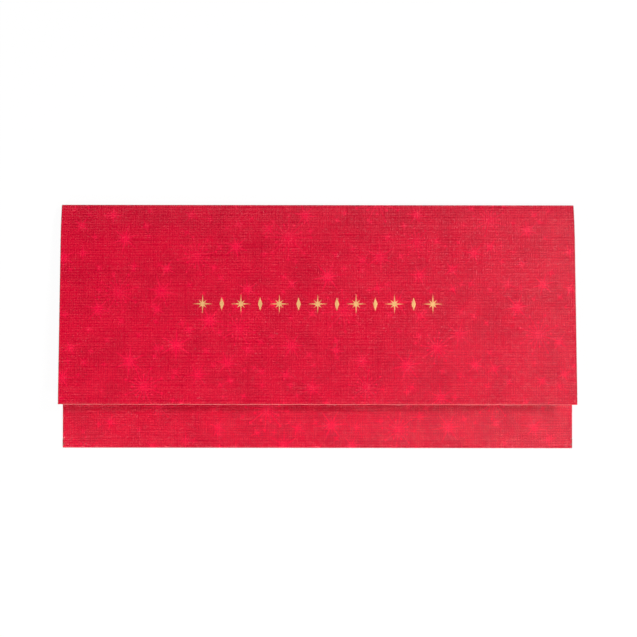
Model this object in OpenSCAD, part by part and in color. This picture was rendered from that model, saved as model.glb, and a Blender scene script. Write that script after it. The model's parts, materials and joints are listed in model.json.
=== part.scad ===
// Gift card holder: one die-cut blank of linen-embossed card, folded into a wallet with a
// glued pocket and a front flap. It lies on its back, X along its folds, top fold at +Y.

/* [Card] */
// Thickness of the card that the blank is cut from
card_t = 0.4; // [0.3:0.02:0.5]
// Thickness of the glue under the pocket tabs
glue_t = 0.12; // [0.06:0.01:0.2]
// Free slit left where two panels meet at a moving crease
crease_gap = 0.05; // [0.03:0.01:0.1]

/* [Holder] */
// Length of the holder along its folds
holder_w = 210; // [160:1:260]
// Depth of the closed holder, from its bottom fold to its top fold
holder_d = 100; // [90:1:130]
// Height of the flap's crease above the pocket front
spine_room = 1.7; // [1:0.1:4]

/* [Front flap] */
// Length of the flap along the card, from its crease to its free edge
flap_len = 82; // [66:1:86]
// Length beside the crease over which the flap stays curved
flap_curl = 16; // [8:1:24]
// Angle at which the closed flap leaves its crease
flap_lift = 15; // [10:0.5:20]
// Angle of the straight rest of the closed flap
flap_slope = 4.2; // [2:0.1:7]

/* [Gift card that it holds] */
// Length of the gift card
gift_w = 85.6; // [60:0.1:110]
// Height of the gift card
gift_h = 54; // [40:0.1:66]
// Thickness of the gift card
gift_t = 0.76; // [0.6:0.02:1.2]
// Free height left over the gift card in the pocket
gift_clear = 0.04; // [0.02:0.01:0.2]
// Height of the gift card's lower edge above the bottom fold
gift_foot = 24; // [19:0.5:32]

/* [Pocket] */
// Height of the pocket front's top edge above the gift card
pocket_over = 5; // [4:0.5:12]
// Radius of the half-round thumb notch in the top edge of the pocket
notch_r = 9; // [5:0.5:12]
// Width of each slit that holds a corner of the gift card
slit_w = 0.8; // [0.4:0.1:1.2]
// Distance from the gift card's corner to where a slit crosses its edge
slit_reach = 13; // [8:0.5:18]
// How far each slit runs on past the gift card's edge
slit_over = 1.4; // [0.5:0.1:3]

/* [Pocket tabs] */
// Width of each tab folded under the side of the pocket
tab_w = 14; // [8:0.5:20]
// Distance from the bottom fold to the foot of a tab
tab_foot = 4; // [3:0.5:10]
// Distance from a tab's head down to the pocket's top edge
tab_head = 5; // [3:0.5:12]
// How far each end of a tab tapers
tab_taper = 7; // [2:0.5:12]
// Width of a glue strip
glue_w = 8; // [4:0.5:10]
// Bare margin between a glue strip's ends and its tab's ends
glue_margin = 4; // [2:0.5:8]

/* [Foil ornament] */
// Thickness of the foil
foil_t = 0.05; // [0.03:0.01:0.1]
// Number of figures in the row, stars and lozenges by turns
foil_count = 13; // [9:2:17]
// Distance from one figure to the next
foil_pitch = 7.8; // [6:0.1:9]
// Length of a star's four long rays
star_long = 4.1; // [3:0.1:5]
// Length of a star's four short rays
star_short = 2.3; // [1.5:0.1:2.6]
// Distance from a star's middle to the notches between its rays
star_waist = 0.8; // [0.5:0.05:1]
// Height of a lozenge
lozenge_h = 5.4; // [3:0.1:8]
// Width of a lozenge
lozenge_w = 1.8; // [1:0.1:2.6]

/* [Hidden] */
$fn = 64;
// A cut runs this far past what it cuts
cut = 1;

// Pocket: the height inside, the front's two faces, and the folds that reach them
pocket_room = gift_t + gift_clear;
front_low = card_t + pocket_room;
front_top = front_low + card_t;
bottom_r = front_top / 2;
tab_low = card_t + glue_t;
side_r = (front_top - tab_low) / 2;
bottom_y = -holder_d / 2;
gift_y = bottom_y + gift_foot + gift_h / 2;
pocket_len = gift_foot + gift_h + pocket_over;
pocket_y = bottom_y + pocket_len;
tab_len = pocket_len - tab_foot - tab_head;
tab_y = bottom_y + tab_foot + tab_len / 2;

// Creases: the middle of the card's thickness, where each panel turns
bead_r = card_t / 2;
crease_y = holder_d / 2 - bead_r;
spine_z = bead_r;
flap_z = front_top + spine_room;
panel_start = bead_r + crease_gap;

// Flap: its mid surface is an arc beside the crease, then a straight run
curl_r = flap_curl / ((flap_lift - flap_slope) * PI / 180);
curl_steps = 12;
curl_mid = [crease_y - curl_r * sin(flap_lift), flap_z - curl_r * cos(flap_lift)];
flap_dir = [-cos(flap_slope), sin(flap_slope)];
flap_up = [sin(flap_slope), cos(flap_slope)];
run_start = curl_mid + curl_r * flap_up;
run_end = run_start + (flap_len - flap_curl) * flap_dir;

// Foil row: its middle lies halfway down the flap, on the outer face
row_at = run_start + (flap_len / 2 - flap_curl) * flap_dir + bead_r * flap_up;
row_half = (foil_count - 1) / 2;

// Points on an arc round c, from angle a to angle b in equal steps
function arc(c, r, a, b, steps) =
  [for (i = [0:steps]) c + r * [cos(a + (b - a) * i / steps), sin(a + (b - a) * i / steps)]];

// Carries an outline drawn in Y and Z along X
module along_folds(length) {
  rotate([90, 0, 90]) linear_extrude(height = length, center = true) children();
}

// Round edge on a crease's axis, which the next panel turns about
module bead(z) {
  translate([0, crease_y, z]) rotate([0, 90, 0]) cylinder(h = holder_w, r = bead_r, center = true);
}

// A card lying flat, drawn in X and Y, with its lower face at z
module flat_card(z) {
  translate([0, 0, z]) linear_extrude(height = card_t) children();
}

// Lays flat foil figures on the outer face of the flap, round the middle of the row
module on_flap() {
  translate([0, row_at[0], row_at[1]]) rotate([-flap_slope, 0, 0])
    linear_extrude(height = foil_t) children();
}

// Back of the wallet, rounded where the spine is creased
module back_panel() {
  color([0.84, 0.11, 0.24]) {
    flat_card(0)
      translate([-holder_w / 2, bottom_y + bottom_r]) square([holder_w, crease_y - bottom_y - bottom_r]);
    bead(spine_z);
  }
}

// Narrow panel between the two creases of the top fold
module top_spine() {
  color([0.8, 0.09, 0.21]) {
    along_folds(holder_w)
      translate([crease_y - bead_r, spine_z + panel_start])
        square([card_t, flap_z - spine_z - panel_start]);
    bead(flap_z);
  }
}

// Cover that stands a little open over the pocket: curved beside its crease, then straight
module front_flap() {
  start = 90 - flap_lift + panel_start / curl_r * 180 / PI;
  end = 90 - flap_slope;
  outer = arc(curl_mid, curl_r + bead_r, start, end, curl_steps);
  inner = arc(curl_mid, curl_r - bead_r, end, start, curl_steps);
  outline = concat(outer, [run_end + bead_r * flap_up, run_end - bead_r * flap_up], inner);
  color([0.88, 0.12, 0.25]) along_folds(holder_w) polygon(outline);
}

// Half-round fold that carries the card up from the back to the pocket front
module bottom_fold() {
  color([0.7, 0.07, 0.17])
    along_folds(holder_w) translate([bottom_y + bottom_r, bottom_r]) difference() {
      circle(r = bottom_r);
      circle(r = bottom_r - card_t);
      translate([0, -bottom_r - cut]) square([bottom_r + cut, 2 * (bottom_r + cut)]);
    }
}

// Slit across one corner of the gift card, drawn for its upper right corner at the origin
module corner_slit() {
  run = slit_reach * sqrt(2) + 2 * slit_over - slit_w;
  translate([-slit_reach / 2, -slit_reach / 2]) rotate(-45) {
    square([run, slit_w], center = true);
    for (side = [-1, 1]) translate([side * run / 2, 0]) circle(d = slit_w);
  }
}

// Pocket front: relieved at its sides for the tab folds, notched and slit for the gift card
module pocket_panel() {
  low = bottom_y + bottom_r;
  relief = tab_len + 2 * crease_gap;
  color([0.86, 0.12, 0.25]) flat_card(front_low) difference() {
    translate([-holder_w / 2, low]) square([holder_w, pocket_y - low]);
    for (side = [-1, 1]) translate([side * holder_w / 2, tab_y])
      square([2 * side_r, relief], center = true);
    translate([0, pocket_y]) circle(r = notch_r);
    translate([0, gift_y])
      for (x = [-1, 1], y = [-1, 1]) scale([x, y]) translate([gift_w / 2, gift_h / 2]) corner_slit();
  }
}

// Tab on the right of the pocket front, turned under it and tapered at both ends
module tab_right() {
  mid = [holder_w / 2 - side_r, tab_low + side_r];
  tip = mid[0] - tab_w;
  section = concat(
    arc(mid, side_r, 90, -90, curl_steps),
    [[tip, tab_low], [tip, tab_low + card_t]],
    arc(mid, side_r - card_t, -90, 90, curl_steps)
  );
  plan = [
    [holder_w / 2 + cut, -tab_len / 2], [mid[0], -tab_len / 2], [tip, tab_taper - tab_len / 2],
    [tip, tab_len / 2 - tab_taper], [mid[0], tab_len / 2], [holder_w / 2 + cut, tab_len / 2]
  ];
  translate([0, tab_y, 0]) intersection() {
    rotate([90, 0, 0]) linear_extrude(height = tab_len, center = true) polygon(section);
    linear_extrude(height = front_top + cut) polygon(plan);
  }
}

module pocket_tab_left() {
  color([0.8, 0.09, 0.21]) mirror([1, 0, 0]) tab_right();
}

module pocket_tab_right() {
  color([0.8, 0.09, 0.21]) tab_right();
}

// Strip of dried glue between a tab and the back, on the side given as -1 or 1
module glue_strip(side) {
  x = side * (holder_w / 2 - side_r - tab_w / 2);
  length = tab_len - 2 * tab_taper - 2 * glue_margin;
  color([0.85, 0.8, 0.62]) translate([x, tab_y, card_t + glue_t / 2])
    cube([glue_w, length, glue_t], center = true);
}

module glue_strip_left() {
  glue_strip(-1);
}

module glue_strip_right() {
  glue_strip(1);
}

// Star of four long rays and four short ones
module star() {
  ray = [star_long, star_waist, star_short, star_waist];
  polygon([for (i = [0:15]) ray[i % 4] * [cos(i * 22.5), sin(i * 22.5)]]);
}

module lozenge() {
  polygon([[lozenge_w / 2, 0], [0, lozenge_h / 2], [-lozenge_w / 2, 0], [0, -lozenge_h / 2]]);
}

// Every second figure of the row, from its left end
module foil_stars() {
  color([0.86, 0.68, 0.4]) on_flap()
    for (i = [-row_half:2:row_half]) translate([i * foil_pitch, 0]) star();
}

// The figures between the stars
module foil_lozenges() {
  color([0.86, 0.68, 0.4]) on_flap()
    for (i = [1 - row_half:2:row_half - 1]) translate([i * foil_pitch, 0]) lozenge();
}

back_panel();
top_spine();
front_flap();
bottom_fold();
pocket_panel();
pocket_tab_left();
pocket_tab_right();
glue_strip_left();
glue_strip_right();
foil_stars();
foil_lozenges();
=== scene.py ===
# Gift card holder: one blank of printed linen card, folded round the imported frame.
# Lengths in the dictionaries are millimetres, angles are degrees.
import json
import math

import bpy
import numpy as np
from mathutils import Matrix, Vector
from mathutils.geometry import delaunay_2d_cdt


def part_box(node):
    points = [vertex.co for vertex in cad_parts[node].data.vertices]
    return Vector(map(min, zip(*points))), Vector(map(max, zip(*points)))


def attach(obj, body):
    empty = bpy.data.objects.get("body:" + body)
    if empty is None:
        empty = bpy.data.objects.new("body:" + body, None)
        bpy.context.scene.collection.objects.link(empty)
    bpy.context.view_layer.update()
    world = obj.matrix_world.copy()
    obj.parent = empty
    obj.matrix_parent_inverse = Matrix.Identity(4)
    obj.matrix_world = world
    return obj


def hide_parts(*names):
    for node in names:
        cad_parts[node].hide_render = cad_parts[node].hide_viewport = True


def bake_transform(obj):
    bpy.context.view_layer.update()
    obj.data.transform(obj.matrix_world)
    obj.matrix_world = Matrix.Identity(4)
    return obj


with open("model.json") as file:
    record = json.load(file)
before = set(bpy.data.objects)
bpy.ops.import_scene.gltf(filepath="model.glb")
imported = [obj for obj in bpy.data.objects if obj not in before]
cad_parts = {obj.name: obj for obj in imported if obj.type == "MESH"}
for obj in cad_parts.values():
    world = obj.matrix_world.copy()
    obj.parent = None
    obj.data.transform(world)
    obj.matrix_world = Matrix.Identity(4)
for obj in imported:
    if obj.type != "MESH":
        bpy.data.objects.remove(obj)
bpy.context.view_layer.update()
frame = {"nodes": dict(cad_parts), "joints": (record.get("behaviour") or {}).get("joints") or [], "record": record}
mm = 0.001
scene = bpy.context.scene
print("frame loaded:", len(frame["nodes"]), "nodes")


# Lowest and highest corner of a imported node, in millimetres
def boxOf(node):
    low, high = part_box(node)
    return np.array(low) / mm, np.array(high) / mm


def addObject(name, data):
    added = bpy.data.objects.new(name, data)
    scene.collection.objects.link(added)
    return added


# Camera: straight above the holder, where the photograph's lens was
camera = {
    "height": 481.6,  # above the table
    "foot": (-3.42, 3.41),  # point of the table straight below the lens
    "lens": 65.86,  # on a sensor 36 mm wide
    "shift": 0.0145,  # moves the frame right, to centre the holder
    "roll": 0.07,
}


def addCamera(look):
    data = bpy.data.cameras.new("camera")
    data.lens = look["lens"]
    data.sensor_width = 36
    data.shift_x = look["shift"]
    data.clip_start = 0.01
    eye = addObject("camera", data)
    eye.location = (look["foot"][0] * mm, look["foot"][1] * mm, look["height"] * mm)
    eye.rotation_euler = (0, 0, math.radians(look["roll"]))
    scene.camera = eye


addCamera(camera)
print("camera placed")

# The folded sheet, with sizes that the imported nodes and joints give
pocketLow, pocketHigh = boxOf("pocket_panel")
tabLow, tabHigh = boxOf("pocket_tab_right")
joints = {joint["name"]: joint for joint in frame["joints"]}
lowCrease = [value / mm for value in joints["spine_crease"]["pos_m"]]
highCrease = [value / mm for value in joints["flap_crease"]["pos_m"]]
half = (pocketHigh[2] - pocketLow[2]) / 2  # half the card's thickness
halfWidth = pocketHigh[0]
foldRadius = pocketHigh[2] / 2 - half  # of the card's middle, in the bottom fold

sheet = {
    "creaseRadius": 0.36,  # of the card's middle, where it is creased
    "flapLength": 81.62,
    "flapCurl": 16.0,  # stretch beside the crease that stays curved
    "flapLift": 15.0,
    "flapSlope": 4.2,
    "edgeRound": 0.1,  # of the cut edges
    "edgeTurns": (24, 57, 90),  # where the rings of a rounded edge stand
    "sharpFrom": 50,  # faces that meet at more than this are shaded apart
    "support": 0.3,  # from a cut edge to the first row of the flat face
    "seamFlat": 0.6,  # flat card on a fold's own piece, at each side of the fold
    "creaseFlat": 0.35,
}

# Stretches of the sheet from the pocket's mouth round to the flap's free edge: length and turn of each
creaseSquare = sheet["creaseRadius"] * math.radians(90)
flapTurn = 90 - sheet["flapLift"]
flapBack = sheet["creaseRadius"] * math.tan(math.radians(flapTurn) / 2)
stretches = [
    ("pocket", pocketHigh[1] - pocketLow[1], 0),
    ("bottomFold", foldRadius * math.pi, 180),
    ("back", lowCrease[1] - pocketLow[1] - sheet["creaseRadius"], 0),
    ("lowCrease", creaseSquare, 90),
    ("spine", highCrease[2] - lowCrease[2] - sheet["creaseRadius"] - flapBack, 0),
    ("highCrease", sheet["creaseRadius"] * math.radians(flapTurn), flapTurn),
    ("curl", sheet["flapCurl"] - flapBack, sheet["flapLift"] - sheet["flapSlope"]),
    ("run", sheet["flapLength"] - sheet["flapCurl"], 0),
]
lengths = np.array([length for _, length, _ in stretches])
turns = np.radians([turn for _, _, turn in stretches])
starts = np.concatenate([[0], np.cumsum(lengths)[:-1]])
station = {name: starts[i] for i, (name, _, _) in enumerate(stretches)}
station["end"] = lengths.sum()
headings = math.pi + np.concatenate([[0], np.cumsum(turns)[:-1]])
chords = lengths * np.sinc(turns / (2 * math.pi))
steps = chords[:, None] * np.stack([np.cos(headings + turns / 2), np.sin(headings + turns / 2)], axis=1)
mouth = np.array([pocketHigh[1], pocketHigh[2] - half])
corners = mouth + np.concatenate([[[0, 0]], np.cumsum(steps, axis=0)[:-1]])


# Point of the card's middle in Y and Z at a distance s along the sheet, and its heading there.
# A stretch turns evenly, so its chord is t * sinc(half of the turn so far), in the heading half way round
def walkSheet(s):
    i = np.clip(np.searchsorted(starts, s, side="right") - 1, 0, len(starts) - 1)
    t = s - starts[i]
    turned = turns[i] * t / lengths[i]
    chord = t * np.sinc(turned / (2 * math.pi))
    middle = headings[i] + turned / 2
    y = corners[i, 0] + chord * np.cos(middle)
    z = corners[i, 1] + chord * np.sin(middle)
    return y, z, headings[i] + turned


# Natural unevenness of the sheet along its outer normal. The pocket swells as a half wave across, and down it
# as the rest of a half wave that has begun before its mouth. The flap's free corners lift with the square of
# the distance from the middle, and its lip droops with the square of the distance past the lip's start
swell = {
    "pocket": 0.06,
    "pocketBegun": 0.35,  # share of the half wave that lies before the pocket's mouth
    "pocketFlat": 3.0,  # stretch above the bottom fold that stays flat
    "corners": 0.06,
    "middle": -0.04,
    "wave": 0.04,
    "waveLength": 95.0,
    "waveSlant": 0.4,  # how far a wave leans, across for each length down
    "lip": -0.14,  # droop of the flap's free edge
    "lipLength": 9.0,
}


def swellOf(x, s):
    across = np.clip(x / halfWidth, -1, 1)
    down = np.clip(s / (station["bottomFold"] - swell["pocketFlat"]), 0, 1)
    begun = swell["pocketBegun"]
    pocket = swell["pocket"] * np.cos(across * math.pi / 2) * np.sin(math.pi * (begun + (1 - begun) * down))
    pocket = pocket * (s < station["bottomFold"])
    out = np.clip((s - station["curl"]) / sheet["flapLength"], 0, 1)
    wave = swell["wave"] * np.sin(2 * math.pi * (x + swell["waveSlant"] * s) / swell["waveLength"])
    lip = np.clip(1 - (station["end"] - s) / swell["lipLength"], 0, 1)
    flap = (swell["corners"] * across ** 2 + swell["middle"] + wave) * out ** 2 + swell["lip"] * lip ** 2
    return pocket + flap


# Place of (x, s, n): n is the distance from the card's middle towards its printed side,
# which lies on the right of the heading
def onSheet(x, s, n):
    y, z, heading = walkSheet(s)
    n = n + swellOf(x, s)
    return np.stack([x, y + n * np.sin(heading), z - n * np.cos(heading)], axis=-1)


end = onSheet(np.array([0.0]), np.array([station["end"]]), np.array([half]))[0]
flapLow, flapHigh = boxOf("front_flap")
print("flap ends at", end.round(3)[1:], "and its node at", flapLow[1].round(3), flapHigh[2].round(3))


# Values from start to end of each span (start, end, longest step), in even steps
def rowsOf(*spans):
    parts = [np.linspace(a, b, math.ceil(abs(b - a) / step) + 1)[:-1] for a, b, step in spans]
    return np.concatenate(parts + [[spans[-1][1]]])


# The same rows, with one more at the support distance from a cut side, which itself stands back by its
# rounding. Rows at the same place to a millionth are one row
def sideRows(values, cutFirst, cutLast, rounding):
    extra = [values[0] + sheet["support"]] * cutFirst + [values[-1] - sheet["support"]] * cutLast
    values = np.unique(np.concatenate([values, extra]).round(6))
    values[0] += rounding * cutFirst
    values[-1] -= rounding * cutLast
    return values


# Flat face on a grid of u by v. cuts says for the sides u first, u last, v first and v last whether the side
# is a cut edge, 1, or a seam with another piece, 0. Each boundary point keeps its outward vector for the wall
def gridFace(us, vs, cuts, rounding=sheet["edgeRound"]):
    us = sideRows(us, cuts[0], cuts[1], rounding)
    vs = sideRows(vs, cuts[2], cuts[3], rounding)
    flat = np.stack(np.meshgrid(us, vs), axis=-1)
    out = np.zeros_like(flat)
    out[:, 0, 0] = -rounding * cuts[0]
    out[:, -1, 0] = rounding * cuts[1]
    out[0, :, 1] = -rounding * cuts[2]
    out[-1, :, 1] = rounding * cuts[3]
    index = np.arange(flat.shape[0] * flat.shape[1]).reshape(flat.shape[:2])
    loop = np.concatenate([index[0, :-1], index[:-1, -1], index[-1, :0:-1], index[:0:-1, 0]])
    faces = np.stack([index[:-1, :-1], index[:-1, 1:], index[1:, 1:], index[1:, :-1]], axis=-1).reshape(-1, 4)
    return flat.reshape(-1, 2), faces, [(loop, out.reshape(-1, 2)[loop])]


# How free outlines are filled
filling = {
    "straight": 0.001,  # sine of a corner's turn under which it counts as straight
    "clear": 0.45,  # share of the spacing that the grid's points keep from an outline
    "merge": 0.000001,  # distance at which two points are one
}


# Points along a closed loop of corners (x, s, cut), in even steps no longer than spacing, with the flag of
# each edge
def traceLoop(cornersOf, spacing):
    points, flags = [], []
    for (x, s, cut), (nextX, nextS, _) in zip(cornersOf, cornersOf[1:] + cornersOf[:1]):
        count = max(1, math.ceil(math.hypot(nextX - x, nextS - s) / spacing))
        share = np.arange(count)[:, None] / count
        points.append(np.array([[x, s]]) * (1 - share) + np.array([[nextX, nextS]]) * share)
        flags.append(np.full(count, cut, float))
    return np.concatenate(points), np.concatenate(flags)


# Outward vector at each point of a loop: to where its two edges cross once each is moved out by its reach
def outVectors(points, reach):
    edge = np.roll(points, -1, axis=0) - points
    after = np.stack([edge[:, 1], -edge[:, 0]], axis=1) / np.linalg.norm(edge, axis=1, keepdims=True)
    before, reachBefore = np.roll(after, 1, axis=0), np.roll(reach, 1)
    turn = before[:, 0] * after[:, 1] - before[:, 1] * after[:, 0]
    straight = np.abs(turn) < filling["straight"]
    turn = np.where(straight, 1, turn)
    crossing = np.stack([
        (reachBefore * after[:, 1] - reach * before[:, 1]) / turn,
        (reach * before[:, 0] - reachBefore * after[:, 0]) / turn,
    ], axis=1)
    return np.where(straight[:, None], after * reach[:, None], crossing)


# Whether each point lies in a closed loop: a ray towards +X crosses it an odd number of times
def inLoop(points, loop):
    x, y = points[:, None, 0], points[:, None, 1]
    a, b = loop[None], np.roll(loop, -1, axis=0)[None]
    rise = b[..., 1] - a[..., 1]
    crossing = a[..., 0] + (y - a[..., 1]) * (b[..., 0] - a[..., 0]) / np.where(rise == 0, 1, rise)
    return (((a[..., 1] > y) != (b[..., 1] > y)) & (x < crossing)).sum(axis=1) % 2 == 1


# Whether each point lies in the outline and in no hole: in an odd number of the loops
def inFace(points, loops):
    return np.logical_xor.reduce([inLoop(points, loop) for loop in loops])


# Flat face with a free outline and holes, triangulated between the loops, a row of points at the support
# distance inside their cut edges, and a grid of points over the rest
def cutFace(loops, spacing):
    rounding = sheet["edgeRound"]
    outs = [outVectors(points, flags * rounding) for points, flags in loops]
    inset = [points - out for (points, _), out in zip(loops, outs)]
    rows = []
    for points, flags in loops:
        inwards = outVectors(points, flags * (rounding + sheet["support"]))
        betweenCuts = flags * np.roll(flags, 1) > 0
        rows.append((points - inwards)[betweenCuts])
    low, high = inset[0].min(axis=0), inset[0].max(axis=0)
    us, vs = (rowsOf((low[k], high[k], spacing)) for k in (0, 1))
    grid = np.stack(np.meshgrid(us, vs), axis=-1).reshape(-1, 2)
    edges = np.concatenate(inset + rows)
    near = np.array([np.linalg.norm(edges - point, axis=1).min() for point in grid])
    inner = inFace(grid, inset) & (near > spacing * filling["clear"])
    points = np.concatenate(inset + rows + [grid[inner]])
    fixed, first = [], 0
    for loop in inset:
        fixed += [(first + i, first + (i + 1) % len(loop)) for i in range(len(loop))]
        first += len(loop)
    places = [Vector(point) for point in points]
    found, _, triangles, origin, _, _ = delaunay_2d_cdt(places, fixed, [], 0, filling["merge"])
    flat = np.array([tuple(point) for point in found])
    triangles = np.array(triangles)
    triangles = triangles[inFace(flat[triangles].mean(axis=1), inset)]
    a, b, c = (flat[triangles[:, k]] for k in range(3))
    turn = (b[:, 0] - a[:, 0]) * (c[:, 1] - a[:, 1]) - (b[:, 1] - a[:, 1]) * (c[:, 0] - a[:, 0])
    triangles = np.where((turn > 0)[:, None], triangles, triangles[:, ::-1])
    now = {old: new for new, olds in enumerate(origin) for old in olds}
    result, first = [], 0
    for loop, out in zip(inset, outs):
        result.append((np.array([now[first + i] for i in range(len(loop))]), out))
        first += len(loop)
    return flat, triangles, result


# Places of the card's materials in a piece's list
printedFace, insideFace, coreFace = 0, 1, 2


# Closed card from a flat face: the face on the printed side at n = thick, the same face on the inside at
# n = -thick, and walls whose rings turn a quarter circle at each side, out by r sin a and in by r (1 - cos a)
def thicken(face, thick=half, rounding=sheet["edgeRound"]):
    flat, faces, loops = face
    angle = np.radians(sheet["edgeTurns"])
    share = np.concatenate([np.sin(angle), np.sin(angle)[::-1]])
    level = thick - rounding * (1 - np.cos(angle))
    level = np.concatenate([level, -level[::-1]])
    count = len(flat)
    points = [np.column_stack([flat, np.full(count, side * thick)]) for side in (1, -1)]
    groups = [
        (faces, np.full(len(faces), printedFace)),
        (faces[:, ::-1] + count, np.full(len(faces), insideFace)),
    ]
    edge = np.zeros(2 * count)
    first = 2 * count
    for loop, out in loops:
        rings = flat[loop][None] + share[:, None, None] * out[None]
        depth = np.broadcast_to(level[:, None, None], rings.shape[:2] + (1,))
        points.append(np.concatenate([rings, depth], axis=2).reshape(-1, 3))
        number = first + np.arange(rings.shape[0] * len(loop)).reshape(-1, len(loop))
        index = np.vstack([loop, number, count + loop])
        after = np.roll(index, -1, axis=1)
        walls = np.stack([after[:-1], index[:-1], index[1:], after[1:]], axis=-1)
        band = np.full(walls.shape[:2], coreFace)
        band[0], band[-1] = printedFace, insideFace
        groups.append((walls.reshape(-1, 4), band.reshape(-1)))
        isCut = (np.abs(out).sum(axis=1) > 0).astype(float)
        edge[loop] = edge[count + loop] = isCut
        edge = np.concatenate([edge, np.tile(isCut, rings.shape[0])])
        first += rings.shape[0] * len(loop)
    return {"points": np.concatenate(points), "groups": groups, "edge": edge}


# Mesh object from points in millimetres. Six times the volume under the faces is the sum of a . (b x c) over
# their triangles. Where it is negative the faces point inwards and are turned round
def makePiece(name, points, groups, uv, marks, materials):
    volume = 0
    for faces, _ in groups:
        for k in range(1, faces.shape[1] - 1):
            a, b, c = points[faces[:, 0]], points[faces[:, k]], points[faces[:, k + 1]]
            volume += (a * np.cross(b, c)).sum()
    order = 1 if volume > 0 else -1
    everyFace = [face for faces, _ in groups for face in faces[:, ::order].tolist()]
    mesh = bpy.data.meshes.new(name)
    mesh.from_pydata((points * mm).tolist(), [], everyFace)
    numbers = np.concatenate([number for _, number in groups])
    mesh.polygons.foreach_set("material_index", numbers.astype(np.int32))
    mesh.polygons.foreach_set("use_smooth", np.ones(len(mesh.polygons), bool))
    corner = np.zeros(len(mesh.loops), np.int32)
    mesh.loops.foreach_get("vertex_index", corner)
    layer = mesh.uv_layers.new(name="sheet")
    layer.data.foreach_set("uv", uv[corner].astype(np.float32).ravel())
    for mark, values in marks.items():
        mesh.attributes.new(mark, "FLOAT", "POINT").data.foreach_set("value", values.astype(np.float32))
    mesh.update()
    mesh.set_sharp_from_angle(angle=math.radians(sheet["sharpFrom"]))
    for material in materials:
        mesh.materials.append(material)
    piece = addObject(name, mesh)
    print(name, "made,", len(mesh.polygons), "faces")
    return piece


# How near a place is to the middle of a fold, as a bell of its distance along the sheet
def foldMark(distance, reach):
    return np.exp(-(distance / reach) ** 2)


# Reach of that bell at each fold
foldReach = {
    "bottomFold": 0.9,
    "sideFold": 0.5,
    "lowCrease": 0.45,
    "highCrease": 0.45,
}


def bendOf(s):
    middles = {name: station[name] + length / 2 for name, length, _ in stretches if name in foldReach}
    return np.max([foldMark(s - middle, foldReach[name]) for name, middle in middles.items()], axis=0)


# Panels of the folded sheet: a plain rectangle of it keeps its own x and s
def sheetCard(name, face):
    folded = thicken(face)
    x, s, n = folded["points"].T
    marks = {"cutEdge": folded["edge"], "fold": bendOf(s)}
    return makePiece(name, onSheet(x, s, n), folded["groups"], np.column_stack([x, s]), marks, card)


# Print of the card. Shaders measure in millimetres too, because the UV map holds x and s. A noise is given by
# its size, detail and roughness, and a span by the values between which something eases in
printLook = {
    "base": (0.745, 0.0015, 0.033),
    "sockets": {"Roughness": 0.27},
    "star": (1.0, 0.0026, 0.056),
    "deep": (0.65, 0.0011, 0.0285),
    "deepNoise": (11.0, 3.0),  # slow patches in the ink
    "deepSpan": (0.34, 0.7),
    "freeEdgeHighlight": (1.0, 0.075, 0.10),  # painted highlight along the flap's free edge
    "freeHighlightSpan": (0.6, 0.4),  # how far from that edge it begins and is full
    "rim": (0.38, 0.10, 0.09),  # painted shade: darker and greyer along the other cut edges
    "paintedEdgeSpan": (0.1, 0.9),
    "paper": (0.80, 0.74, 0.66),
    "glossNoise": (1.7, 3.0),
    "glossSpread": 0.12,  # full spread of the roughness
    "sheen": 0.28,  # strength of the mirrored light
    "leastSheen": 0.1,  # share of it that is left anywhere
    "tilt": 23.0,  # of the whole layout of figures
    "smallest": 0.6,  # share of its full size that a figure has at least
    "faintest": 0.65,  # and of its full strength
    "tipSoft": 0.06,  # share of a ray's length over which its tip fades
    "glowReach": 0.62,  # share of a figure's radius
    "room": (0.6, 0.7),  # shares of the larger and the own radius between two figures
}

# Where the ink is worn through to the paper: marks of folds and cut edges, and flecks, add up
wear = {"fold": 0.5, "edge": 0.34, "fleckNoise": (0.35, 3.0, 0.7), "span": (0.98, 1.16), "most": 0.5}

# Layers of the print, largest first. Each cell holds one figure, whose rays are by turns long and short. A
# ray loses the shares taper of its width and fade of its ink up to its tip, and a club is a dot there
figures = {
    "burst": {
        "cell": 41.0, "jitter": 0.55, "shift": (11.0, 7.0), "radius": 9.2, "rays": 16, "short": 0.6,
        "ray": 0.4, "taper": 0.4, "fade": 0.4, "core": 1.4, "glow": 0.5, "club": 0.6, "soft": 0.25,
        "strength": 0.85,
    },
    "star": {
        "cell": 22.0, "jitter": 0.6, "shift": (3.0, 31.0), "radius": 7.0, "rays": 12, "short": 0.55,
        "ray": 0.62, "taper": 0.8, "fade": 0.45, "core": 1.6, "glow": 0.6, "soft": 0.25, "strength": 1.0,
    },
    "sprig": {
        "cell": 15.0, "jitter": 0.65, "shift": (53.0, 17.0), "radius": 4.0, "rays": 8, "short": 0.6,
        "ray": 0.6, "taper": 0.8, "fade": 0.45, "core": 1.1, "glow": 0.55, "soft": 0.3, "strength": 0.9,
    },
    "dot": {
        "cell": 10.5, "jitter": 0.85, "shift": (29.0, 3.0), "radius": 2.0, "rays": 4, "short": 1.0,
        "ray": 0.6, "taper": 0.8, "fade": 0.3, "core": 0.9, "glow": 0.45, "soft": 0.4, "strength": 0.75,
    },
}

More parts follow.
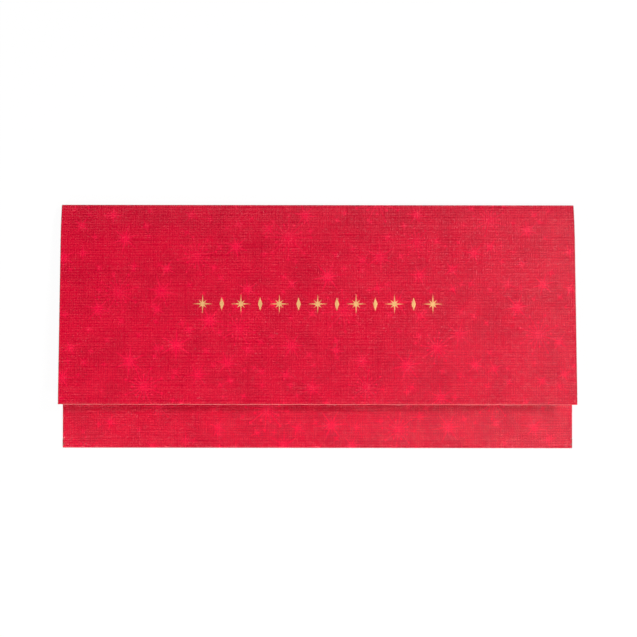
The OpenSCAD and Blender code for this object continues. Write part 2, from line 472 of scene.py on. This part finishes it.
linen = {
    "across": 0.942,  # between upright threads
    "down": 1.04,  # between level threads
    "upright": 0.5,  # height of the upright threads
    "level": 0.8,  # height of the level ones
    "run": 2.2,  # length over which a thread keeps its strength
    "runNoise": (0.9, 2.0, 0.6),  # its size is a share of the pitch and the run
    "runSpan": (0.3, 0.7),
    "weakest": 0.25,  # share of its height that a thread has at least
    "under": 0.35,  # half of the share that it loses where it goes under
    "stray": 0.34,  # of a thread from its even place, as a share of the pitch
    "strayRun": 30.0,  # length over which it keeps that place
    "strayNoise": (1.6,),
    "apart": (31.0, 7.0),  # between the noises of the two sets of threads
    "leadNoise": (7.0,),  # the places where one set of threads leads
    "leadSpan": (0.36, 0.64),
    "lead": 0.2,
    "even": 0.8,  # share of the height where neither leads
    "grainNoise": (0.42, 2.0, 0.6),  # the paper's own grain
    "grainShare": 2.6,  # of the grain, against the threads
    "depth": 0.035,
    "shade": 0.29,  # painted shade between the threads and painted light on their crowns
    "gloss": 1.8,  # duller ink there
    "thinInkAndGlint": 0.035,  # paper colour on the highest crowns: partly thinner ink, partly a painted glint
    "thinInkAndGlintFrom": 0.1,  # how far below the middle height that begins
}


# Node in the tree that the first socket among the values belongs to
def newNode(kind, *values):
    tree = next(value.id_data for value in values if isinstance(value, bpy.types.NodeSocket))
    return tree.nodes.new(kind)


def put(socket, value):
    if isinstance(value, bpy.types.NodeSocket):
        socket.id_data.links.new(value, socket)
    else:
        socket.default_value = value


# Result of an operation, which leaves only one output enabled
def calc(operation, *values, kind="ShaderNodeMath"):
    node = newNode(kind, *values)
    node.operation = operation
    for socket, value in zip(node.inputs, values):
        put(socket, value)
    return next(output for output in node.outputs if output.enabled)


def times(first, second):
    return calc("MULTIPLY", first, second)


def scaled(value, factor, offset):
    return calc("MULTIPLY_ADD", value, factor, offset)


def vectorCalc(operation, *values):
    return calc(operation, *values, kind="ShaderNodeVectorMath")


# Smooth step of a value from low to high, written out between first and last
def ease(value, low, high, first=0.0, last=1.0):
    node = newNode("ShaderNodeMapRange", value)
    node.interpolation_type = "SMOOTHSTEP"
    given = {"Value": value, "From Min": low, "From Max": high, "To Min": first, "To Max": last}
    for name in given:
        put(node.inputs[name], given[name])
    return node.outputs["Result"]


def noise(vector, size, detail=2.0, roughness=0.5, space="2D"):
    node = newNode("ShaderNodeTexNoise", vector)
    node.noise_dimensions = space
    put(node.inputs["Vector"], vector)
    node.inputs["Scale"].default_value = 1 / size
    node.inputs["Detail"].default_value = detail
    node.inputs["Roughness"].default_value = roughness
    return node.outputs["Fac"]


def cells(vector, size, jitter):
    node = newNode("ShaderNodeTexVoronoi", vector)
    node.voronoi_dimensions = "2D"
    put(node.inputs["Vector"], vector)
    node.inputs["Scale"].default_value = 1 / size
    node.inputs["Randomness"].default_value = jitter
    return node


def split(vector):
    node = newNode("ShaderNodeSeparateXYZ", vector)
    put(node.inputs[0], vector)
    return node.outputs


def join(x, y):
    node = newNode("ShaderNodeCombineXYZ", x)
    put(node.inputs[0], x)
    put(node.inputs[1], y)
    return node.outputs[0]


def mix(share, first, second):
    node = newNode("ShaderNodeMix", share)
    node.data_type = "RGBA"
    put(node.inputs["Factor"], share)
    for socket, value in zip((node.inputs[6], node.inputs[7]), (first, second)):
        put(socket, (*value, 1) if isinstance(value, tuple) else value)
    return node.outputs[2]


def readMark(tree, name):
    node = tree.nodes.new("ShaderNodeAttribute")
    node.attribute_name = name
    return node.outputs["Fac"]


def sheetPlace(tree):
    node = tree.nodes.new("ShaderNodeUVMap")
    node.uv_map = "sheet"
    return node.outputs["UV"]


# New material, its node tree and its shader, with the sockets that its look names
def newMaterial(name, look):
    material = bpy.data.materials.new(name)
    material.use_nodes = True
    material.diffuse_color = (*look["base"], 1)
    shader = material.node_tree.nodes["Principled BSDF"]
    shader.inputs["Base Color"].default_value = (*look["base"], 1)
    for socket, value in look["sockets"].items():
        shader.inputs[socket].default_value = value
    return material, material.node_tree, shader


# Roughness that spreads by a noise about the look's own value
def addGloss(shader, place, look):
    low = look["sockets"]["Roughness"] - look["glossSpread"] / 2
    gloss = scaled(noise(place, *look["glossNoise"]), look["glossSpread"], low)
    put(shader.inputs["Roughness"], gloss)


# Bump of a height, where depth is the millimetres that a height of 1 stands for
def addBump(shader, height, depth):
    node = newNode("ShaderNodeBump", height)
    node.inputs["Distance"].default_value = depth * mm
    put(node.inputs["Height"], height)
    put(shader.inputs["Normal"], node.outputs["Normal"])


# Plain weave pressed into the card, about its middle height. A thread is a cosine across its pitch, as strong
# as a noise drawn out along it says. Over and under is the product of two cosines at twice the pitch. In some
# patches the upright threads lead and in others the level ones
def linenHeight(place):
    u, v, _ = split(place)
    weave = times(*[
        calc("COSINE", times(value, math.pi / linen[name]))
        for value, name in ((u, "across"), (v, "down"))
    ])
    lead = ease(noise(place, *linen["leadNoise"]), *linen["leadSpan"], -1.0, 1.0)
    heights = []
    for value, pitch, along, sign, height in (
        (u, linen["across"], v, 1, linen["upright"]), (v, linen["down"], u, -1, linen["level"]),
    ):
        line = calc("DIVIDE", value, pitch)
        drawn = join(line, calc("DIVIDE", along, linen["run"]))
        drawn = vectorCalc("ADD", drawn, (linen["apart"][0] * sign, linen["apart"][1], 0.0))
        straight = join(line, calc("DIVIDE", along, linen["strayRun"] * sign))
        strayed = noise(straight, *linen["strayNoise"])
        angle = scaled(strayed, 4 * linen["stray"], line)
        wave = calc("COSINE", times(angle, 2 * math.pi))
        run = noise(drawn, *linen["runNoise"])
        strength = ease(run, *linen["runSpan"], linen["weakest"] * height, height)
        leading = scaled(lead, linen["lead"] * sign, linen["even"])
        over = scaled(weave, linen["under"] * sign, 1 - linen["under"])
        strength = times(times(strength, leading), over)
        heights.append(times(wave, strength))
    return calc("ADD", *heights)


# One layer of printed figures. r and the angle are measured from the point of the figure's own cell. A ray is
# where r * sin(angle to the nearest ray) is under its half width, which tapers along it as the ink fades, and
# a glow lies round the core. A figure is left out where a larger layer's figure is too near
def figureLayer(place, look, largerOnes):
    moved = vectorCalc("ADD", place, (*look["shift"], 0.0))
    cell = cells(moved, look["cell"], look["jitter"])
    point = vectorCalc("SUBTRACT", cell.outputs["Position"], (*look["shift"], 0.0))
    chance = split(cell.outputs["Color"])
    away = vectorCalc("SUBTRACT", moved, cell.outputs["Position"])
    x, y, _ = split(away)
    smallest, faintest = printLook["smallest"], printLook["faintest"]
    size = scaled(chance[1], 1 - smallest, smallest)
    r = calc("DIVIDE", vectorCalc("LENGTH", away), size)
    turn = calc("DIVIDE", calc("ARCTAN2", y, x), 2 * math.pi)
    number = calc("ADD", turn, chance[0])
    number = scaled(number, look["rays"], 0.5 + 2 * look["rays"])
    offRay = calc("ABSOLUTE", calc("SUBTRACT", calc("FRACT", number), 0.5))
    offRay = times(offRay, 2 * math.pi / look["rays"])
    beside = times(r, calc("SINE", offRay))
    along = times(r, calc("COSINE", offRay))
    isShort = calc("MODULO", calc("FLOOR", number), 2.0)
    reach = scaled(isShort, (look["short"] - 1) * look["radius"], look["radius"])
    out = calc("DIVIDE", along, reach)
    width = scaled(out, -look["taper"] * look["ray"], look["ray"])
    soft, tipSoft = look["soft"], printLook["tipSoft"]
    ray = ease(calc("SUBTRACT", beside, width), soft, -soft)
    ray = times(ray, scaled(out, -look["fade"], 1.0))
    ray = times(ray, ease(out, 1 + tipSoft, 1 - tipSoft))
    core = ease(r, look["core"] + soft, look["core"] - soft)
    glow = ease(r, printLook["glowReach"] * look["radius"], 0.0, 0.0, look["glow"])
    figure = calc("MAXIMUM", calc("MAXIMUM", ray, core), glow)
    if "club" in look:
        tip = vectorCalc("LENGTH", join(calc("SUBTRACT", along, reach), beside))
        figure = calc("MAXIMUM", figure, ease(tip, look["club"] + soft, look["club"] - soft))
    strongest = look["strength"]
    figure = times(figure, scaled(chance[2], (1 - faintest) * strongest, faintest * strongest))
    for larger in largerOnes:
        there = vectorCalc("ADD", point, (*larger["shift"], 0.0))
        nearest = cells(there, larger["cell"], larger["jitter"]).outputs["Position"]
        gap = vectorCalc("DISTANCE", there, nearest)
        room = printLook["room"][0] * larger["radius"] + printLook["room"][1] * look["radius"]
        figure = times(figure, calc("GREATER_THAN", gap, room))
    return figure


# All layers of the print together, over the tilted sheet. Every layer keeps clear of the two largest
def printedFigures(place):
    node = newNode("ShaderNodeVectorRotate", place)
    node.rotation_type = "Z_AXIS"
    put(node.inputs["Vector"], place)
    node.inputs["Angle"].default_value = math.radians(printLook["tilt"])
    looks = list(figures.values())
    layers = [figureLayer(node.outputs["Vector"], look, looks[:min(i, 2)]) for i, look in enumerate(looks)]
    total = layers[0]
    for layer in layers[1:]:
        total = calc("MAXIMUM", total, layer)
    return total


# Share of paper colour: worn bare where the marks of folds, cut edges and flecks add up to enough, and on the
# highest crowns of the linen, where it is partly thinner ink and partly a painted glint
def bareAndGlintShare(tree, place, relief):
    worn = times(readMark(tree, "fold"), wear["fold"])
    worn = scaled(readMark(tree, "cutEdge"), wear["edge"], worn)
    worn = calc("ADD", worn, noise(place, *wear["fleckNoise"]))
    worn = ease(worn, *wear["span"], 0.0, wear["most"])
    # Paper colour on the crowns: partly thinner ink, partly a painted glint
    thinInkAndGlint = scaled(relief, linen["thinInkAndGlint"], linen["thinInkAndGlintFrom"] * linen["thinInkAndGlint"])
    return calc("MAXIMUM", worn, calc("MAXIMUM", thinInkAndGlint, 0.0))


# Printed and linen-embossed outside: red ground in slow patches, brighter figures, painted shade between the
# threads and painted light on their crowns, ink that is glossier on the crowns, a painted highlight along the
# flap's free edge, painted shade along the other cut edges, and bare paper that on the crowns is also a painted
# glint
def redPrint():
    look = printLook
    material, tree, shader = newMaterial("redPrint", look)
    place = sheetPlace(tree)
    grain = calc("SUBTRACT", noise(place, *linen["grainNoise"]), 0.5)
    relief = scaled(grain, linen["grainShare"], linenHeight(place))
    patches = ease(noise(place, *look["deepNoise"]), *look["deepSpan"])
    color = mix(patches, look["base"], look["deep"])
    color = mix(printedFigures(place), color, look["star"])
    # Painted shade between the threads and painted light on their crowns
    color = vectorCalc("MULTIPLY", color, scaled(relief, linen["shade"], 1.0))
    # Painted highlight along the flap's free edge
    highlightFrom, highlightTo = (station["end"] - distance for distance in look["freeHighlightSpan"])
    atFreeHighlight = ease(split(place)[1], highlightFrom, highlightTo)
    rim = mix(atFreeHighlight, look["rim"], look["freeEdgeHighlight"])
    # Painted shade along the other cut edges, and the free edge's painted highlight, eased in by the cutEdge mark
    atPaintedEdge = ease(readMark(tree, "cutEdge"), *look["paintedEdgeSpan"])
    color = mix(atPaintedEdge, color, rim)
    color = mix(bareAndGlintShare(tree, place, relief), color, look["paper"])
    put(shader.inputs["Base Color"], color)
    addGloss(shader, place, look)
    sheen = scaled(relief, look["sheen"] * linen["gloss"], look["sheen"])
    sheen = calc("MAXIMUM", sheen, look["sheen"] * look["leastSheen"])
    put(shader.inputs["Specular IOR Level"], sheen)
    addBump(shader, relief, linen["depth"])
    return material


# Colour that goes from the look's base to its other one as a value goes through its span
def addTones(shader, value, look):
    color = mix(ease(value, *look["span"]), look["base"], look["other"])
    put(shader.inputs["Base Color"], color)


# Bare inside of the card: warm white and uncoated, with soft fibre clouds and the linen's ghost from behind
insideLook = {
    "base": (0.82, 0.79, 0.72),
    "sockets": {"Roughness": 0.82, "Specular IOR Level": 0.3},
    "other": (0.785, 0.75, 0.68),
    "smallNoise": (0.5, 3.0, 0.7),
    "smallShare": 0.4,
    "largeNoise": (5.0, 4.0, 0.65),
    "largeShare": 0.6,
    "span": (0.42, 0.62),
    "fibreNoise": (0.22, 4.0, 0.7),
    "fibreShare": 0.5,
    "ghostShare": -0.5,  # the linen's crowns are hollows on this side
    "depth": 0.03,
}


def insideCard():
    look = insideLook
    material, tree, shader = newMaterial("insideCard", look)
    place = sheetPlace(tree)
    clouds = times(noise(place, *look["smallNoise"]), look["smallShare"])
    clouds = scaled(noise(place, *look["largeNoise"]), look["largeShare"], clouds)
    addTones(shader, clouds, look)
    fibres = times(noise(place, *look["fibreNoise"]), look["fibreShare"])
    ghost = times(linenHeight(place), look["ghostShare"])
    addBump(shader, calc("ADD", fibres, ghost), look["depth"])
    return material


# Cut through the card: pale pressed fibre in fine layers, as a noise that is squeezed flat
coreLook = {
    "base": (0.80, 0.72, 0.62),
    "sockets": {"Roughness": 0.9, "Specular IOR Level": 0.2},
    "other": (0.66, 0.50, 0.42),
    "perMetre": (900.0, 900.0, 14000.0),
    "fibreNoise": (1.0, 3.0),
    "span": (0.45, 0.65),
    "depth": 0.02,
}


def cardCore():
    look = coreLook
    material, tree, shader = newMaterial("cardCore", look)
    here = tree.nodes.new("ShaderNodeTexCoord").outputs["Object"]
    fibre = noise(vectorCalc("MULTIPLY", here, look["perMetre"]), *look["fibreNoise"], space="3D")
    addTones(shader, fibre, look)
    addBump(shader, fibre, look["depth"])
    return material


# Matt gold foil, which takes the linen's relief from the card below it
foilLook = {
    "base": (1.0, 0.59, 0.23),
    "sockets": {"Roughness": 0.5, "Metallic": 0.45},
    "other": (0.92, 0.52, 0.19),
    "toneNoise": (0.8, 3.0),
    "span": (0.35, 0.7),
    "glossNoise": (0.3, 3.0),
    "glossSpread": 0.2,
    "grainNoise": (0.12, 2.0),
    "grainShare": 0.2,
    "depth": 0.03,
}


def goldFoil():
    look = foilLook
    material, tree, shader = newMaterial("goldFoil", look)
    place = sheetPlace(tree)
    addTones(shader, noise(place, *look["toneNoise"]), look)
    addGloss(shader, place, look)
    grain = times(noise(place, *look["grainNoise"]), look["grainShare"])
    addBump(shader, calc("ADD", linenHeight(place), grain), look["depth"])
    return material


# Dried glue: pale amber, half clear, with small bubbles
glueLook = {
    "base": (0.78, 0.66, 0.42),
    "sockets": {"Roughness": 0.3, "Subsurface Weight": 0.2, "Subsurface Scale": 0.0004},
    "bubble": (0.88, 0.82, 0.66),
    "bubbleCell": 0.9,
    "bubbleSpan": (0.12, 0.3),
    "waveNoise": (1.4, 3.0),
    "depth": 0.05,
}


def dryGlue():
    look = glueLook
    material, tree, shader = newMaterial("dryGlue", look)
    place = sheetPlace(tree)
    bubbles = cells(place, look["bubbleCell"], 1.0).outputs["Distance"]
    color = mix(ease(bubbles, *look["bubbleSpan"]), look["bubble"], look["base"])
    put(shader.inputs["Base Color"], color)
    addBump(shader, noise(place, *look["waveNoise"]), look["depth"])
    return material


card = [redPrint(), insideCard(), cardCore()]
gold = goldFoil()
glue = dryGlue()
print("materials made")

# Rows of the grid: across the holder, and down each panel, closer together where the card bends
grid = {
    "across": 2.0, "down": 2.0, "curl": 1.0, "arc": 0.07, "bottomArc": 0.16,
    "bottomSeam": 0.3, "creaseSeam": 0.12, "spineSeam": 0.4,
}
columns = rowsOf((-halfWidth, halfWidth, grid["across"]))
bottomSeams = (station["bottomFold"] - sheet["seamFlat"], station["back"] + sheet["seamFlat"])
spineSeams = (station["lowCrease"] - sheet["creaseFlat"], station["highCrease"] - sheet["creaseFlat"])


# Panel over the whole width, whose rows follow the spans
def addPanel(name, cuts, *spans):
    return sheetCard(name, gridFace(columns, rowsOf(*spans), cuts))


def backPiece():
    piece = addPanel("cardBack", (1, 1, 0, 0), (bottomSeams[1], spineSeams[0], grid["down"]))
    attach(piece, "back")
    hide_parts("back_panel")


def bottomFoldPiece():
    piece = addPanel(
        "cardBottomFold", (1, 1, 0, 0),
        (bottomSeams[0], station["bottomFold"], grid["bottomSeam"]),
        (station["bottomFold"], station["back"], grid["bottomArc"]),
        (station["back"], bottomSeams[1], grid["bottomSeam"]),
    )
    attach(piece, "back")
    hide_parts("bottom_fold")


def spinePiece():
    piece = addPanel(
        "cardSpine", (1, 1, 0, 0),
        (spineSeams[0], station["lowCrease"], grid["creaseSeam"]),
        (station["lowCrease"], station["spine"], grid["arc"]),
        (station["spine"], spineSeams[1], grid["spineSeam"]),
    )
    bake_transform(piece)
    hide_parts("top_spine")


def flapPiece():
    piece = addPanel(
        "cardFlap", (1, 1, 0, 1),
        (spineSeams[1], station["highCrease"], grid["creaseSeam"]),
        (station["highCrease"], station["curl"], grid["arc"]),
        (station["curl"], station["run"], grid["curl"]),
        (station["run"], station["end"], grid["down"]),
    )
    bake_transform(piece)
    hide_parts("front_flap")


# Front of the pocket, relieved at the tabs' folds, with a thumb notch and a slit for each gift card corner
pocket = {
    "notch": 9.0,
    "notchPoints": 25,
    "giftCard": (85.6, 54.0),
    "slitReach": 13.0,  # from the gift card's corner to where a slit crosses its edge
    "slitOver": 1.4,
    "slitWidth": 0.8,
    "slitPoints": 9,  # round each end
    "relief": 0.05,  # gap beside a tab's fold
    "spacing": 2.4,
}
cardPlace = next(mount for mount in frame["record"]["mounts"] if mount["name"] == "card_place")
giftMiddle = cardPlace["pos_m"][1] / mm


# Slit across one corner of the gift card: a slot with round ends, drawn clockwise because it is a hole
def slitLoop(sideX, sideS):
    reach, width = pocket["slitReach"], pocket["slitWidth"]
    x = sideX * (pocket["giftCard"][0] / 2 - reach / 2)
    s = pocketHigh[1] - giftMiddle + sideS * (pocket["giftCard"][1] / 2 - reach / 2)
    run = reach * math.sqrt(2) + 2 * pocket["slitOver"] - width
    angle = math.radians(-45 * sideX * sideS)
    turn = np.radians(np.linspace(90, -90, pocket["slitPoints"]))
    around = np.column_stack([run / 2 + width / 2 * np.cos(turn), width / 2 * np.sin(turn)])
    around = np.concatenate([around, -around])
    x = x + around[:, 0] * math.cos(angle) - around[:, 1] * math.sin(angle)
    s = s + around[:, 0] * math.sin(angle) + around[:, 1] * math.cos(angle)
    return [(a, b, 1) for a, b in zip(x, s)]


def pocketPiece():
    top = pocketHigh[1] - tabHigh[1] - pocket["relief"]
    foot = pocketHigh[1] - tabLow[1] + pocket["relief"]
    turn = np.radians(np.linspace(180, 0, pocket["notchPoints"]))
    notch = [(pocket["notch"] * math.cos(a), pocket["notch"] * math.sin(a), 1) for a in turn]
    right = [
        (halfWidth, 0.0, 1), (halfWidth, top, 1), (sideSeam, top, 0), (sideSeam, foot, 0),
        (halfWidth, foot, 1), (halfWidth, bottomSeams[0], 0),
    ]
    left = [
        (-halfWidth, bottomSeams[0], 1), (-halfWidth, foot, 0), (-sideSeam, foot, 0), (-sideSeam, top, 1),
        (-halfWidth, top, 1), (-halfWidth, 0.0, 1),
    ]
    loops = [traceLoop(notch + right + left, pocket["spacing"])]
    loops += [traceLoop(slitLoop(sideX, sideS), pocket["spacing"]) for sideX in (-1, 1) for sideS in (-1, 1)]
    piece = sheetCard("cardPocketFront", cutFace(loops, pocket["spacing"]))
    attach(piece, "back")
    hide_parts("pocket_panel")


# Tab at the side of the pocket: it leaves the pocket's front at the side seam, turns under in a half ring and
# lies flat. There its half length shrinks with the distance past the fold
tab = {
    "lead": 0.36,  # from the side seam to the fold
    "flat": 14.0,
    "taper": 7.0,
    "steps": (0.2, 0.07, 1.0),  # of the rows before, round and past the fold
    "endStep": 0.027,  # between its ends, as a share of its half length
}
sideSeam = halfWidth - (tabHigh[2] - tabLow[2]) / 2 - tab["lead"]


def tabPiece(side, name, node):
    radius = (tabHigh[2] - tabLow[2]) / 2 - half
    middleX, middleZ = halfWidth - radius - half, tabLow[2] + radius + half
    lead = middleX - sideSeam
    arc = math.pi * radius
    bends = (0, lead, lead + arc, lead + arc + tab["flat"])
    rows = rowsOf(*zip(bends, bends[1:], tab["steps"]))
    ends = rowsOf((-1, 1, tab["endStep"]))
    face = thicken(gridFace(rows, ends * (tabHigh[1] - tabLow[1]) / 2, (0, 1, 1, 1)))
    p, q, n = face["points"].T
    angle = math.pi / 2 - np.clip((p - lead) / radius, 0, math.pi)
    beyond = np.clip(p - lead - arc, 0, None)
    shrink = 1 - tab["taper"] * beyond / tab["flat"] / ((tabHigh[1] - tabLow[1]) / 2)
    x = middleX + np.minimum(p - lead, 0) - beyond + (radius + n) * np.cos(angle)
    z = middleZ + (radius + n) * np.sin(angle)
    y = (tabHigh[1] + tabLow[1]) / 2 - q * shrink
    uv = np.column_stack([side * (sideSeam + p), pocketHigh[1] - y])
    marks = {
        "cutEdge": face["edge"] * np.clip((p - lead) / arc, 0, 1),
        "fold": foldMark(p - lead - arc / 2, foldReach["sideFold"]),
    }
    piece = makePiece(name, np.column_stack([side * x, y, z]), face["groups"], uv, marks, card)
    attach(piece, "back")
    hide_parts(node)


# Line of glue between a tab and the back, squeezed flat. Across and along it a and b run from -1 to 1. Its
# width goes with the root of 1 less a high power of b, and two waves in b shift its sides, calmed at its ends
glueLine = {
    "width": 8.0,
    "length": 52.0,
    "inset": 0.3,  # of the sides, which leaves room for the waves
    "narrow": 0.55,
    "narrowPower": 14,
    "uneven": 0.22,
    "waves": (9, 23),
    "secondWave": 0.6,
    "calmPower": 6,
    "round": 0.8,  # share of the half thickness that is rounded
    "steps": (0.1, 0.03),
}


def gluePiece(side, name, node):
    look = glueLine
    low, high = boxOf(node)
    thick = (high[2] - low[2]) / 2
    rounding = look["round"] * thick
    across, along = (rowsOf((-1, 1, step)) for step in look["steps"])
    face = thicken(gridFace(across, along, (1, 1, 1, 1), rounding), thick, rounding)
    a, b, n = face["points"].T
    width = np.sqrt(1 - look["narrow"] * np.abs(np.clip(b, -1, 1)) ** look["narrowPower"])
    wave = np.sin(look["waves"][0] * b + 2 * side) + look["secondWave"] * np.sin(look["waves"][1] * b + a)
    uneven = look["uneven"] * wave * (1 - np.abs(b) ** look["calmPower"])
    x = (low[0] + high[0]) / 2 + a * (look["width"] / 2 * width - look["inset"]) + uneven * np.abs(a)
    y = (low[1] + high[1]) / 2 + b * look["length"] / 2
    z = (low[2] + high[2]) / 2 + n
    points, uv = np.column_stack([x, y, z]), np.column_stack([x, y])
    piece = makePiece(name, points, face["groups"], uv, {"cutEdge": face["edge"]}, [glue] * 3)
    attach(piece, "back")
    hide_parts(node)


# Foil figures in a row halfway down the flap. An outline of straight edges is cut into short steps, and rings
# of it shrink towards the figure's middle; the rim drops from the foil's face to the card
foil = {
    "pitch": 7.8,
    "count": 13,
    "starRays": (4.1, 0.8, 2.3, 0.8),
    "lozenge": (1.8, 5.4),
    "thickness": 0.05,
    "sunk": 0.02,  # into the card, so that no light passes under the rim
    "rings": (0.3, 0.55, 0.78, 0.92, 0.985, 1.0),
    "drop": (0, 0, 0, 0, 0.004, 0.018),
    "steps": 5,
}


def foilPiece(name, node, outline, numbers):
    following = np.roll(outline, -1, axis=0)
    share = (np.arange(foil["steps"]) / foil["steps"])[None, :, None]
    rim = (outline[:, None] * (1 - share) + following[:, None] * share).reshape(-1, 2)
    top = half + foil["thickness"]
    factor = np.array(foil["rings"] + (1.0,))
    level = np.concatenate([top - np.array(foil["drop"]), [half - foil["sunk"]]])
    rings = np.concatenate([
        rim[None] * factor[:, None, None],
        np.broadcast_to(level[:, None, None], (len(factor), len(rim), 1)),
    ], axis=2)
    one = np.concatenate([rings.reshape(-1, 3), [[0, 0, top]], [[0, 0, half - foil["sunk"]]]])
    index = np.arange(len(factor) * len(rim)).reshape(len(factor), len(rim))
    after = np.roll(index, -1, axis=1)
    quads = np.stack([index[:-1], index[1:], after[1:], after[:-1]], axis=-1).reshape(-1, 4)
    topFan = np.column_stack([np.full(len(rim), len(one) - 2), index[0], after[0]])
    lowFan = np.column_stack([np.full(len(rim), len(one) - 1), after[-1], index[-1]])
    offsets = (np.array(numbers) - (foil["count"] - 1) / 2) * foil["pitch"]
    points = np.concatenate([one + [offset, 0, 0] for offset in offsets])
    repeat = np.arange(len(offsets))[:, None, None] * len(one)
    groups = [
        ((faces[None] + repeat).reshape(-1, faces.shape[1]), np.zeros(len(faces) * len(offsets)))
        for faces in (quads, topFan, lowFan)
    ]
    x, s, n = points.T
    s = s + station["end"] - sheet["flapLength"] / 2
    piece = makePiece(name, onSheet(x, s, n), groups, np.column_stack([x, s]), {}, [gold])
    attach(piece, "flap")
    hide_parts(node)


def starOutline():
    rays = np.tile(foil["starRays"], 4)
    angle = 2 * math.pi / len(rays) * np.arange(len(rays))
    return np.column_stack([rays * np.cos(angle), rays * np.sin(angle)])


def lozengeOutline():
    width, height = foil["lozenge"]
    return np.array([[width / 2, 0], [0, height / 2], [-width / 2, 0], [0, -height / 2]])


backPiece()
bottomFoldPiece()
spinePiece()
flapPiece()
pocketPiece()
tabPiece(1, "cardTabRight", "pocket_tab_right")
tabPiece(-1, "cardTabLeft", "pocket_tab_left")
gluePiece(1, "glueLineRight", "glue_strip_right")
gluePiece(-1, "glueLineLeft", "glue_strip_left")
foilPiece("foilStars", "foil_stars", starOutline(), range(0, foil["count"], 2))
foilPiece("foilLozenges", "foil_lozenges", lozengeOutline(), range(1, foil["count"], 2))
print("pieces made")

# Whether a ray shows the place to the camera, straight or by a mirror or clear glue
def isSeen(tree):
    ray = tree.nodes.new("ShaderNodeLightPath").outputs
    mirrored = calc("MAXIMUM", ray["Is Glossy Ray"], ray["Is Transmission Ray"])
    return calc("MAXIMUM", ray["Is Camera Ray"], mirrored)


# Table top: nearly white to the camera, with part of the lamps' light on it so that it keeps the shadow
table = {"size": 8.0, "albedo": 0.8, "seenAlbedo": 0.06, "seenGlow": 0.95, "drop": 0.00001}


def addTable():
    mesh = bpy.data.meshes.new("table")
    reach = table["size"] / 2
    outline = [(x * reach, y * reach, -table["drop"]) for x, y in ((-1, -1), (1, -1), (1, 1), (-1, 1))]
    mesh.from_pydata(outline, [], [(0, 1, 2, 3)])
    material = bpy.data.materials.new("table")
    material.use_nodes = True
    tree = material.node_tree
    tree.nodes.clear()
    plain, shaded = tree.nodes.new("ShaderNodeBsdfDiffuse"), tree.nodes.new("ShaderNodeBsdfDiffuse")
    plain.inputs["Color"].default_value = (table["albedo"],) * 3 + (1,)
    shaded.inputs["Color"].default_value = (table["seenAlbedo"],) * 3 + (1,)
    kinds = ("ShaderNodeEmission", "ShaderNodeAddShader", "ShaderNodeMixShader")
    glow, both, choice = (tree.nodes.new(kind) for kind in kinds)
    glow.inputs["Strength"].default_value = table["seenGlow"]
    put(both.inputs[0], shaded.outputs[0])
    put(both.inputs[1], glow.outputs[0])
    put(choice.inputs[0], isSeen(tree))
    put(choice.inputs[1], plain.outputs[0])
    put(choice.inputs[2], both.outputs[0])
    put(tree.nodes.new("ShaderNodeOutputMaterial").inputs[0], choice.outputs[0])
    mesh.materials.append(material)
    top = addObject("table", mesh)


# Lamps: azimuth from +X towards +Y and angle from the zenith say where a lamp stands as seen from the holder,
# and share is its part of a light under which a colour renders as written. A lamp of P watts gives
# P * cos / (pi * distance squared), and the whole is pi
lamps = {
    "side": {"azimuth": 22, "zenith": 43, "distance": 2.0, "share": 0.345, "size": (0.3, 0.3)},
    "keyRight": {"azimuth": 315, "zenith": 36, "distance": 0.8, "share": 0.3, "size": (0.12, 0.12)},
    "keyLeft": {"azimuth": 225, "zenith": 36, "distance": 0.8, "share": 0.105, "size": (0.12, 0.12)},
    "lowLeft": {"azimuth": 225, "zenith": 60, "distance": 0.8, "share": 0.16, "size": (0.12, 0.12)},
    "behind": {"azimuth": 78, "zenith": 37, "distance": 2.0, "share": 0.07, "size": (1.4, 0.35)},
}


def addLamp(name, look):
    azimuth, zenith = math.radians(look["azimuth"]), math.radians(look["zenith"])
    level = math.sin(zenith)
    towards = Vector((level * math.cos(azimuth), level * math.sin(azimuth), math.cos(zenith)))
    data = bpy.data.lights.new(name, "AREA")
    data.shape = "RECTANGLE"
    data.size, data.size_y = look["size"]
    data.energy = look["share"] * (math.pi * look["distance"]) ** 2 / towards.z
    lamp = addObject(name, data)
    lamp.location = towards * look["distance"]
    lamp.rotation_mode = "QUATERNION"
    lamp.rotation_quaternion = towards.to_track_quat("Z", "Y")


# World: a soft light from the horizon under a dark ceiling. Where it is seen or mirrored it is white from the
# horizon up to seenTo, and as dark overhead
sky = {"low": 0.12, "high": 0.01, "darkFrom": 0.75, "seenTo": 0.3}


def addSky():
    world = bpy.data.worlds.new("studio")
    world.use_nodes = True
    tree = world.node_tree
    height = split(tree.nodes.new("ShaderNodeTexCoord").outputs["Generated"])[2]
    light = ease(height, 0.0, sky["darkFrom"], sky["low"], sky["high"])
    white = ease(height, sky["seenTo"], sky["darkFrom"], 1.0, sky["high"])
    strength = scaled(calc("SUBTRACT", white, light), isSeen(tree), light)
    put(tree.nodes["Background"].inputs["Strength"], strength)
    tree.nodes["Background"].inputs["Color"].default_value = (1, 1, 1, 1)
    scene.world = world


addTable()
for name, look in lamps.items():
    addLamp(name, look)
addSky()
scene.view_settings.view_transform = "Standard"
print("stage and lamps made")
